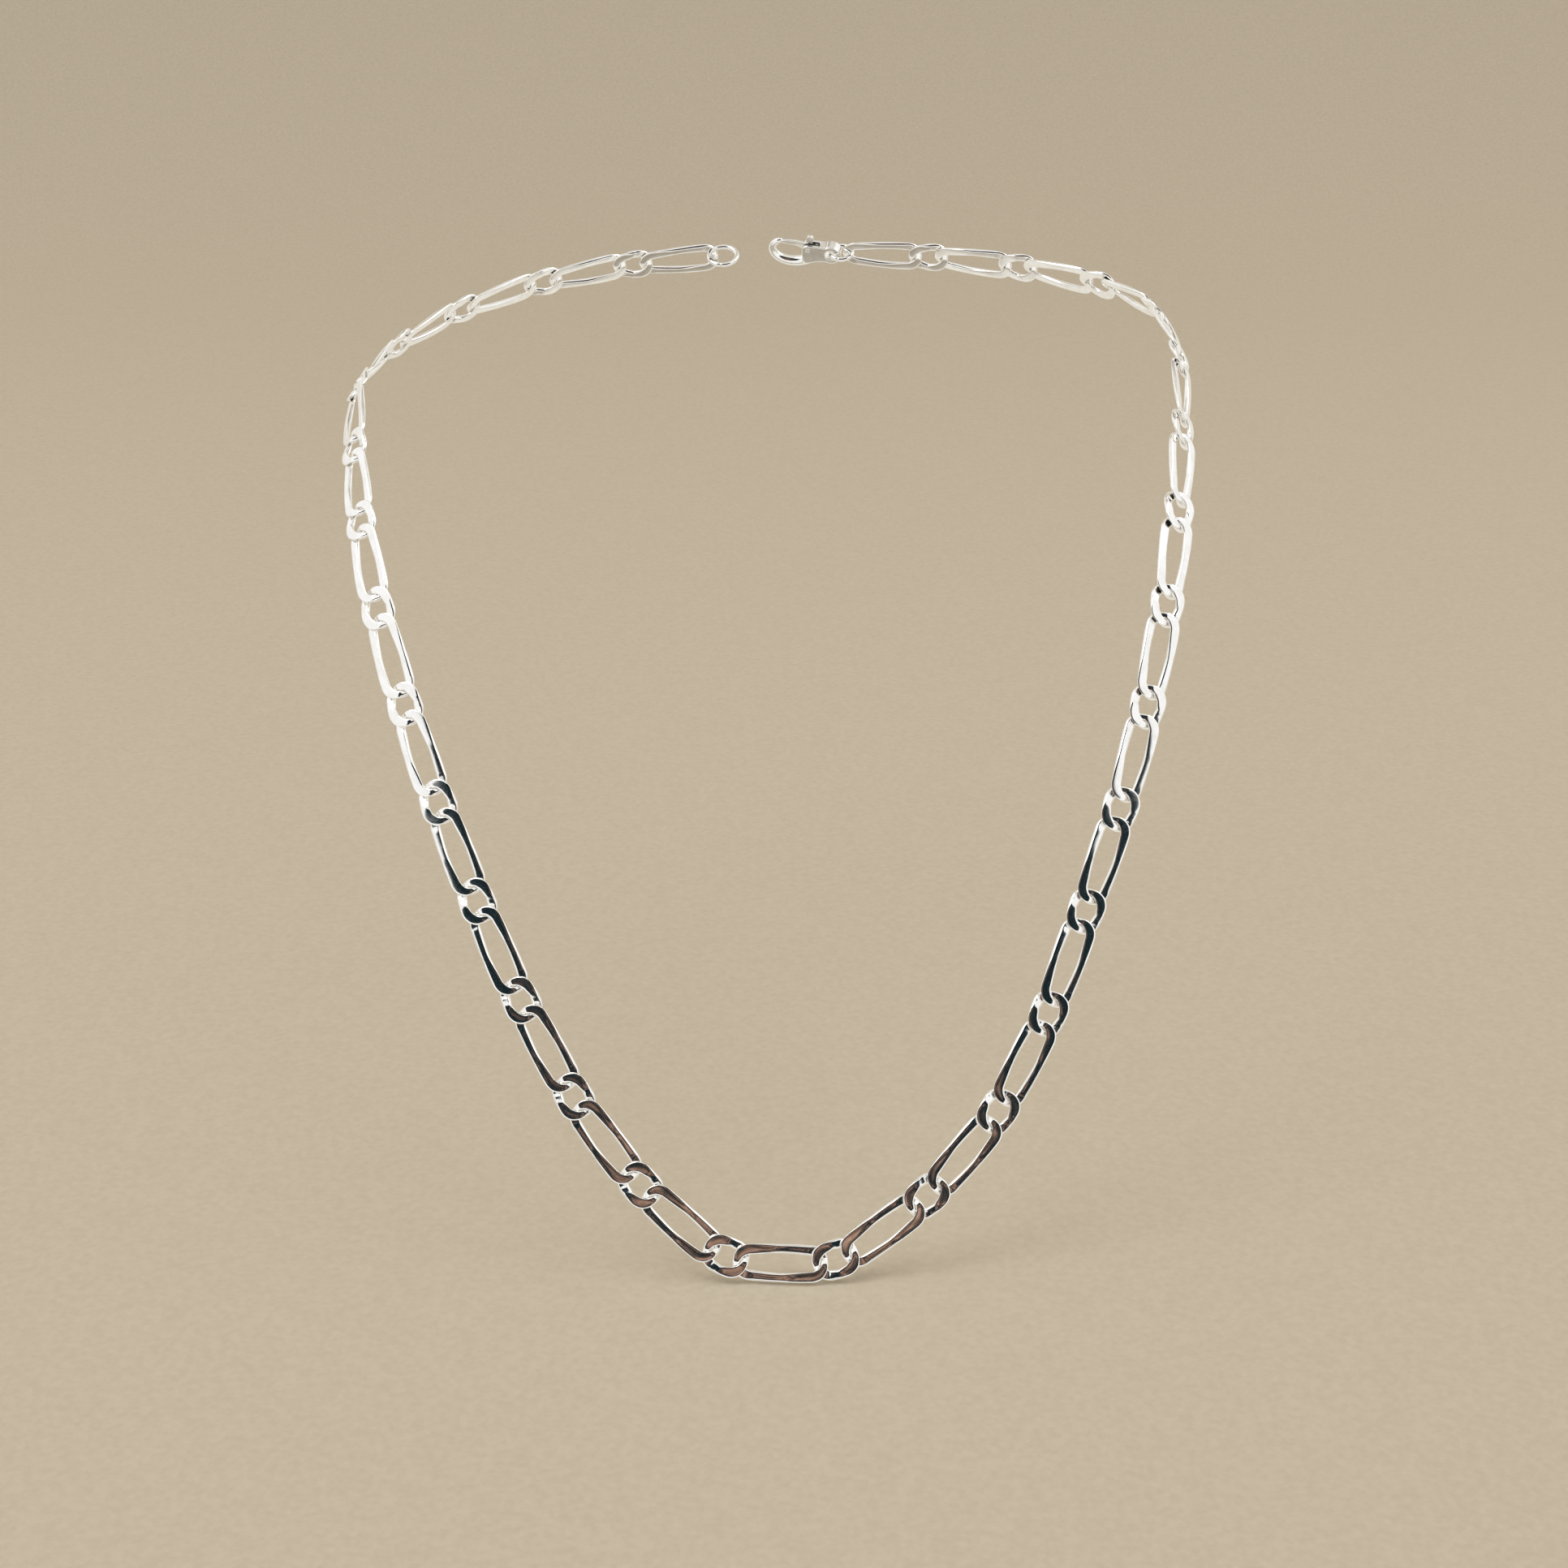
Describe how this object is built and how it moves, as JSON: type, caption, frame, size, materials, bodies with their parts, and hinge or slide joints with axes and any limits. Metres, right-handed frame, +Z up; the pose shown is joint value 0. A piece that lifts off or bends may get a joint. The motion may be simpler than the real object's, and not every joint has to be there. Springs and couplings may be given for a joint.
{
  "type": "chain necklace",
  "caption": "Figaro chain necklace of long and short pressed curb links in polished silver, draped as worn, with a lobster clasp at the nape.",
  "frame": {"origin": "middle of the opening that the neck goes through, level with where the chain lies on the shoulders", "axes": "+Z up along the neck, -Y towards the wearer's front, +X to the right as the viewer sees the front"},
  "size_m": [0.134, 0.1397, 0.1232],
  "materials": {
    "link_silver": "polished",
    "ring_silver": "polished",
    "clasp_silver": "polished",
    "spring_steel": "satin"
  },
  "bodies": {
    "front_link": {"front_link": "link_silver"},
    "left_short_link_01": {"left_short_link_01": "link_silver"},
    "left_long_link_02": {"left_long_link_02": "link_silver"},
    "left_short_link_03": {"left_short_link_03": "link_silver"},
    "left_long_link_04": {"left_long_link_04": "link_silver"},
    "left_short_link_05": {"left_short_link_05": "link_silver"},
    "left_long_link_06": {"left_long_link_06": "link_silver"},
    "left_short_link_07": {"left_short_link_07": "link_silver"},
    "left_long_link_08": {"left_long_link_08": "link_silver"},
    "left_short_link_09": {"left_short_link_09": "link_silver"},
    "left_long_link_10": {"left_long_link_10": "link_silver"},
    "left_short_link_11": {"left_short_link_11": "link_silver"},
    "left_long_link_12": {"left_long_link_12": "link_silver"},
    "left_short_link_13": {"left_short_link_13": "link_silver"},
    "left_long_link_14": {"left_long_link_14": "link_silver"},
    "left_short_link_15": {"left_short_link_15": "link_silver"},
    "left_long_link_16": {"left_long_link_16": "link_silver"},
    "left_short_link_17": {"left_short_link_17": "link_silver"},
    "left_long_link_18": {"left_long_link_18": "link_silver"},
    "left_short_link_19": {"left_short_link_19": "link_silver"},
    "left_long_link_20": {"left_long_link_20": "link_silver"},
    "left_short_link_21": {"left_short_link_21": "link_silver"},
    "left_long_link_22": {"left_long_link_22": "link_silver"},
    "left_back_pair_23_24": {"left_back_pair_23_24": "link_silver"},
    "left_back_pair_25_26": {"left_back_pair_25_26": "link_silver"},
    "left_back_pair_27_28": {"left_back_pair_27_28": "link_silver"},
    "left_back_pair_29_30": {"left_back_pair_29_30": "link_silver"},
    "end_ring": {"end_ring": "ring_silver"},
    "right_short_link_01": {"right_short_link_01": "link_silver"},
    "right_long_link_02": {"right_long_link_02": "link_silver"},
    "right_short_link_03": {"right_short_link_03": "link_silver"},
    "right_long_link_04": {"right_long_link_04": "link_silver"},
    "right_short_link_05": {"right_short_link_05": "link_silver"},
    "right_long_link_06": {"right_long_link_06": "link_silver"},
    "right_short_link_07": {"right_short_link_07": "link_silver"},
    "right_long_link_08": {"right_long_link_08": "link_silver"},
    "right_short_link_09": {"right_short_link_09": "link_silver"},
    "right_long_link_10": {"right_long_link_10": "link_silver"},
    "right_short_link_11": {"right_short_link_11": "link_silver"},
    "right_long_link_12": {"right_long_link_12": "link_silver"},
    "right_short_link_13": {"right_short_link_13": "link_silver"},
    "right_long_link_14": {"right_long_link_14": "link_silver"},
    "right_short_link_15": {"right_short_link_15": "link_silver"},
    "right_long_link_16": {"right_long_link_16": "link_silver"},
    "right_short_link_17": {"right_short_link_17": "link_silver"},
    "right_long_link_18": {"right_long_link_18": "link_silver"},
    "right_short_link_19": {"right_short_link_19": "link_silver"},
    "right_long_link_20": {"right_long_link_20": "link_silver"},
    "right_short_link_21": {"right_short_link_21": "link_silver"},
    "right_long_link_22": {"right_long_link_22": "link_silver"},
    "right_short_link_23": {"right_short_link_23": "link_silver"},
    "right_long_link_24": {"right_long_link_24": "link_silver"},
    "right_back_pair_25_26": {"right_back_pair_25_26": "link_silver"},
    "right_back_pair_27_28": {"right_back_pair_27_28": "link_silver"},
    "right_back_pair_29_30": {"right_back_pair_29_30": "link_silver"},
    "jump_ring": {"jump_ring": "ring_silver"},
    "clasp": {"clasp_body": "clasp_silver", "trigger_pin": "clasp_silver", "trigger_spring": "spring_steel"},
    "clasp_trigger": {"clasp_trigger": "clasp_silver"}
  },
  "joints": [
    {"name": "left_hinge_01", "type": "hinge", "parent": "front_link", "child": "left_short_link_01", "pos_m": [-0.00419, -0.09391, -0.10884], "axis": [-0.362, -0.403, -0.8405], "range_deg": [-10, 35]},
    {"name": "left_hinge_02", "type": "hinge", "parent": "left_short_link_01", "child": "left_long_link_02", "pos_m": [-0.00842, -0.09304, -0.10744], "axis": [0.6563, 0.3131, 0.6865], "range_deg": [-35, 10]},
    {"name": "left_hinge_03", "type": "hinge", "parent": "left_long_link_02", "child": "left_short_link_03", "pos_m": [-0.01698, -0.08904, -0.10108], "axis": [0.7194, 0.2697, 0.6401], "range_deg": [-40, 35]},
    {"name": "left_hinge_04", "type": "hinge", "parent": "left_short_link_03", "child": "left_long_link_04", "pos_m": [-0.02011, -0.08728, -0.0983], "axis": [-0.7845, -0.216, -0.5814], "range_deg": [-35, 40]},
    {"name": "left_hinge_05", "type": "hinge", "parent": "left_long_link_04", "child": "left_short_link_05", "pos_m": [-0.02708, -0.08249, -0.09068], "axis": [-0.8453, -0.1503, -0.5127], "range_deg": [-30, 40]},
    {"name": "left_hinge_06", "type": "hinge", "parent": "left_short_link_05", "child": "left_long_link_06", "pos_m": [-0.02944, -0.08044, -0.08739], "axis": [0.8595, 0.1144, 0.4982], "range_deg": [-40, 35]},
    {"name": "left_hinge_07", "type": "hinge", "parent": "left_long_link_06", "child": "left_short_link_07", "pos_m": [-0.03503, -0.07523, -0.07894], "axis": [0.8698, 0.0793, 0.4871], "range_deg": [-40, 35]},
    {"name": "left_hinge_08", "type": "hinge", "parent": "left_short_link_07", "child": "left_long_link_08", "pos_m": [-0.03715, -0.07317, -0.07549], "axis": [-0.8877, -0.0363, -0.4589], "range_deg": [-40, 40]},
    {"name": "left_hinge_09", "type": "hinge", "parent": "left_long_link_08", "child": "left_short_link_09", "pos_m": [-0.04187, -0.06749, -0.06682], "axis": [-0.8917, -0.0136, -0.4524], "range_deg": [-40, 40]},
    {"name": "left_hinge_10", "type": "hinge", "parent": "left_short_link_09", "child": "left_long_link_10", "pos_m": [-0.04366, -0.06516, -0.06336], "axis": [0.8936, 0.0003, 0.4488], "range_deg": [-40, 40]},
    {"name": "left_hinge_11", "type": "hinge", "parent": "left_long_link_10", "child": "left_short_link_11", "pos_m": [-0.04802, -0.05919, -0.05469], "axis": [0.8953, -0.0162, 0.4451], "range_deg": [-40, 40]},
    {"name": "left_hinge_12", "type": "hinge", "parent": "left_short_link_11", "child": "left_long_link_12", "pos_m": [-0.04968, -0.05674, -0.05125], "axis": [-0.8968, 0.043, -0.4404], "range_deg": [-40, 40]},
    {"name": "left_hinge_13", "type": "hinge", "parent": "left_long_link_12", "child": "left_short_link_13", "pos_m": [-0.05356, -0.05028, -0.04271], "axis": [-0.8953, 0.0815, -0.438], "range_deg": [-35, 40]},
    {"name": "left_hinge_14", "type": "hinge", "parent": "left_short_link_13", "child": "left_long_link_14", "pos_m": [-0.055, -0.04767, -0.03928], "axis": [0.8865, -0.1213, 0.4465], "range_deg": [-35, 35]},
    {"name": "left_hinge_15", "type": "hinge", "parent": "left_long_link_14", "child": "left_short_link_15", "pos_m": [-0.05835, -0.04086, -0.03079], "axis": [0.8689, -0.1583, 0.469], "range_deg": [-30, 35]},
    {"name": "left_hinge_16", "type": "hinge", "parent": "left_short_link_15", "child": "left_long_link_16", "pos_m": [-0.05955, -0.0379, -0.02756], "axis": [-0.8385, 0.1845, -0.5128], "range_deg": [-40, 25]},
    {"name": "left_hinge_17", "type": "hinge", "parent": "left_long_link_16", "child": "left_short_link_17", "pos_m": [-0.06214, -0.0295, -0.02032], "axis": [-0.7928, 0.2078, -0.573], "range_deg": [-35, 20]},
    {"name": "left_hinge_18", "type": "hinge", "parent": "left_short_link_17", "child": "left_long_link_18", "pos_m": [-0.06298, -0.02581, -0.01781], "axis": [0.7358, -0.2378, 0.6341], "range_deg": [-15, 30]},
    {"name": "left_hinge_19", "type": "hinge", "parent": "left_long_link_18", "child": "left_short_link_19", "pos_m": [-0.06474, -0.0161, -0.01212], "axis": [0.6725, -0.2662, 0.6906], "range_deg": [-20, 25]},
    {"name": "left_hinge_20", "type": "hinge", "parent": "left_short_link_19", "child": "left_long_link_20", "pos_m": [-0.06532, -0.01212, -0.01003], "axis": [-0.6027, 0.2906, -0.7432], "range_deg": [-25, 15]},
    {"name": "left_hinge_21", "type": "hinge", "parent": "left_long_link_20", "child": "left_short_link_21", "pos_m": [-0.06618, -0.00179, -0.00529], "axis": [-0.5627, 0.2284, -0.7945], "range_deg": [-40, 15]},
    {"name": "left_hinge_22", "type": "hinge", "parent": "left_short_link_21", "child": "left_long_link_22", "pos_m": [-0.06584, 0.00262, -0.00427], "axis": [0.5223, -0.3053, 0.7962], "range_deg": [-30, 40]},
    {"name": "left_hinge_23", "type": "hinge", "parent": "left_long_link_22", "child": "left_back_pair_23_24", "pos_m": [-0.06278, 0.01338, -0.00215], "axis": [0.3631, -0.4504, 0.8156], "range_deg": [-5, 15]},
    {"name": "left_hinge_24", "type": "hinge", "parent": "left_back_pair_23_24", "child": "left_back_pair_25_26", "pos_m": [-0.05402, 0.02629, 0.00108], "axis": [-0.1756, 0.5223, -0.8345], "range_deg": [-20, 0]},
    {"name": "left_hinge_25", "type": "hinge", "parent": "left_back_pair_25_26", "child": "left_back_pair_27_28", "pos_m": [-0.04132, 0.03541, 0.00412], "axis": [-0.0271, 0.5199, -0.8538], "range_deg": [-30, 10]},
    {"name": "left_hinge_26", "type": "hinge", "parent": "left_back_pair_27_28", "child": "left_back_pair_29_30", "pos_m": [-0.02627, 0.04008, 0.00649], "axis": [-0.0288, -0.4818, 0.8758], "range_deg": [-20, 40]},
    {"name": "end_ring_hinge", "type": "hinge", "parent": "left_back_pair_29_30", "child": "end_ring", "pos_m": [-0.01043, 0.0414, 0.00773], "axis": [0.0299, 0.4728, -0.8807], "range_deg": [-40, 40]},
    {"name": "right_hinge_01", "type": "hinge", "parent": "front_link", "child": "right_short_link_01", "pos_m": [0.00719, -0.09409, -0.10916], "axis": [-0.3013, 0.4134, 0.8592], "range_deg": [-40, 10]},
    {"name": "right_hinge_02", "type": "hinge", "parent": "right_short_link_01", "child": "right_long_link_02", "pos_m": [0.01152, -0.09336, -0.10799], "axis": [0.5883, -0.34, -0.7337], "range_deg": [-10, 40]},
    {"name": "right_hinge_03", "type": "hinge", "parent": "right_long_link_02", "child": "right_short_link_03", "pos_m": [0.02071, -0.08981, -0.10227], "axis": [0.6581, -0.3005, -0.6904], "range_deg": [-35, 40]},
    {"name": "right_hinge_04", "type": "hinge", "parent": "right_short_link_03", "child": "right_long_link_04", "pos_m": [0.02411, -0.0882, -0.09973], "axis": [-0.7493, 0.2385, 0.6178], "range_deg": [-40, 35]},
    {"name": "right_hinge_05", "type": "hinge", "parent": "right_long_link_04", "child": "right_short_link_05", "pos_m": [0.03155, -0.08349, -0.09251], "axis": [-0.8335, 0.1593, 0.5291], "range_deg": [-40, 30]},
    {"name": "right_hinge_06", "type": "hinge", "parent": "right_short_link_05", "child": "right_long_link_06", "pos_m": [0.03399, -0.08135, -0.08933], "axis": [0.8699, -0.1013, -0.4828], "range_deg": [-40, 40]},
    {"name": "right_hinge_07", "type": "hinge", "parent": "right_long_link_06", "child": "right_short_link_07", "pos_m": [0.03932, -0.07595, -0.08084], "axis": [0.9041, -0.0343, -0.426], "range_deg": [-40, 40]},
    {"name": "right_hinge_08", "type": "hinge", "parent": "right_short_link_07", "child": "right_long_link_08", "pos_m": [0.04109, -0.07379, -0.07726], "axis": [-0.9144, -0.0043, 0.4048], "range_deg": [-40, 40]},
    {"name": "right_hinge_09", "type": "hinge", "parent": "right_long_link_08", "child": "right_short_link_09", "pos_m": [0.04511, -0.06831, -0.06812], "axis": [-0.9143, -0.0232, 0.4043], "range_deg": [-40, 40]},
    {"name": "right_hinge_10", "type": "hinge", "parent": "right_short_link_09", "child": "right_long_link_10", "pos_m": [0.04668, -0.06616, -0.06444], "axis": [0.9162, 0.0398, -0.3988], "range_deg": [-40, 40]},
    {"name": "right_hinge_11", "type": "hinge", "parent": "right_long_link_10", "child": "right_short_link_11", "pos_m": [0.05047, -0.06067, -0.05521], "axis": [0.9184, 0.0624, -0.3907], "range_deg": [-40, 40]},
    {"name": "right_hinge_12", "type": "hinge", "parent": "right_short_link_11", "child": "right_long_link_12", "pos_m": [0.05188, -0.05841, -0.05153], "axis": [-0.921, -0.0995, 0.3767], "range_deg": [-40, 40]},
    {"name": "right_hinge_13", "type": "hinge", "parent": "right_long_link_12", "child": "right_short_link_13", "pos_m": [0.05499, -0.05244, -0.04234], "axis": [-0.9204, -0.1445, 0.3632], "range_deg": [-40, 40]},
    {"name": "right_hinge_14", "type": "hinge", "parent": "right_short_link_13", "child": "right_long_link_14", "pos_m": [0.05607, -0.05004, -0.03865], "axis": [0.9127, 0.1823, -0.3658], "range_deg": [-40, 40]},
    {"name": "right_hinge_15", "type": "hinge", "parent": "right_long_link_14", "child": "right_short_link_15", "pos_m": [0.05848, -0.04371, -0.02949], "axis": [0.8959, 0.2171, -0.3875], "range_deg": [-40, 40]},
    {"name": "right_hinge_16", "type": "hinge", "parent": "right_short_link_15", "child": "right_long_link_16", "pos_m": [0.05934, -0.04097, -0.02597], "axis": [-0.8633, -0.2478, 0.4397], "range_deg": [-40, 40]},
    {"name": "right_hinge_17", "type": "hinge", "parent": "right_long_link_16", "child": "right_short_link_17", "pos_m": [0.06123, -0.03319, -0.01787], "axis": [-0.8023, -0.2948, 0.519], "range_deg": [-40, 40]},
    {"name": "right_hinge_18", "type": "hinge", "parent": "right_short_link_17", "child": "right_long_link_18", "pos_m": [0.06184, -0.02975, -0.01497], "axis": [0.7088, 0.3532, -0.6106], "range_deg": [-40, 40]},
    {"name": "right_hinge_19", "type": "hinge", "parent": "right_long_link_18", "child": "right_short_link_19", "pos_m": [0.06312, -0.02066, -0.00822], "axis": [0.6034, 0.3974, -0.6914], "range_deg": [-40, 40]},
    {"name": "right_hinge_20", "type": "hinge", "parent": "right_short_link_19", "child": "right_long_link_20", "pos_m": [0.06354, -0.01691, -0.00571], "axis": [-0.5222, -0.4021, 0.7521], "range_deg": [-40, 40]},
    {"name": "right_hinge_21", "type": "hinge", "parent": "right_long_link_20", "child": "right_short_link_21", "pos_m": [0.06425, -0.0071, 0.00004], "axis": [-0.5403, -0.3169, 0.7795], "range_deg": [-40, 35]},
    {"name": "right_hinge_22", "type": "hinge", "parent": "right_short_link_21", "child": "right_long_link_22", "pos_m": [0.06425, -0.00289, 0.00174], "axis": [0.5988, 0.2901, -0.7465], "range_deg": [-20, 35]},
    {"name": "right_hinge_23", "type": "hinge", "parent": "right_long_link_22", "child": "right_short_link_23", "pos_m": [0.06278, 0.00799, 0.00479], "axis": [0.612, 0.2831, -0.7385], "range_deg": [-30, 40]},
    {"name": "right_hinge_24", "type": "hinge", "parent": "right_short_link_23", "child": "right_long_link_24", "pos_m": [0.06155, 0.01231, 0.00543], "axis": [-0.5483, -0.3874, 0.7412], "range_deg": [-40, 30]},
    {"name": "right_hinge_25", "type": "hinge", "parent": "right_long_link_24", "child": "right_back_pair_25_26", "pos_m": [0.05604, 0.02222, 0.00653], "axis": [-0.3036, -0.4462, 0.8419], "range_deg": [-40, 30]},
    {"name": "right_hinge_26", "type": "hinge", "parent": "right_back_pair_25_26", "child": "right_back_pair_27_28", "pos_m": [0.04378, 0.03235, 0.00748], "axis": [0.1405, 0.4708, -0.871], "range_deg": [-25, 40]},
    {"name": "right_hinge_27", "type": "hinge", "parent": "right_back_pair_27_28", "child": "right_back_pair_29_30", "pos_m": [0.02897, 0.03816, 0.00823], "axis": [0.0573, 0.4807, -0.875], "range_deg": [-30, 40]},
    {"name": "jump_ring_hinge", "type": "hinge", "parent": "right_back_pair_29_30", "child": "jump_ring", "pos_m": [0.01321, 0.0406, 0.00854], "axis": [-0.0564, -0.4753, 0.878], "range_deg": [-40, 40]},
    {"name": "clasp_swivel", "type": "hinge", "parent": "jump_ring", "child": "clasp", "pos_m": [0.01011, 0.04109, 0.0086], "axis": [0.1441, 0.8663, 0.4782], "range_deg": [-40, 40]},
    {"name": "clasp_trigger_hinge", "type": "hinge", "parent": "clasp", "child": "clasp_trigger", "pos_m": [0.0062, 0.04126, 0.00947], "axis": [-0.1441, -0.8663, -0.4782], "range_deg": [0, 26], "stiffness_Nm_per_rad": 0.005, "springref_deg": -14.9}
  ]
}
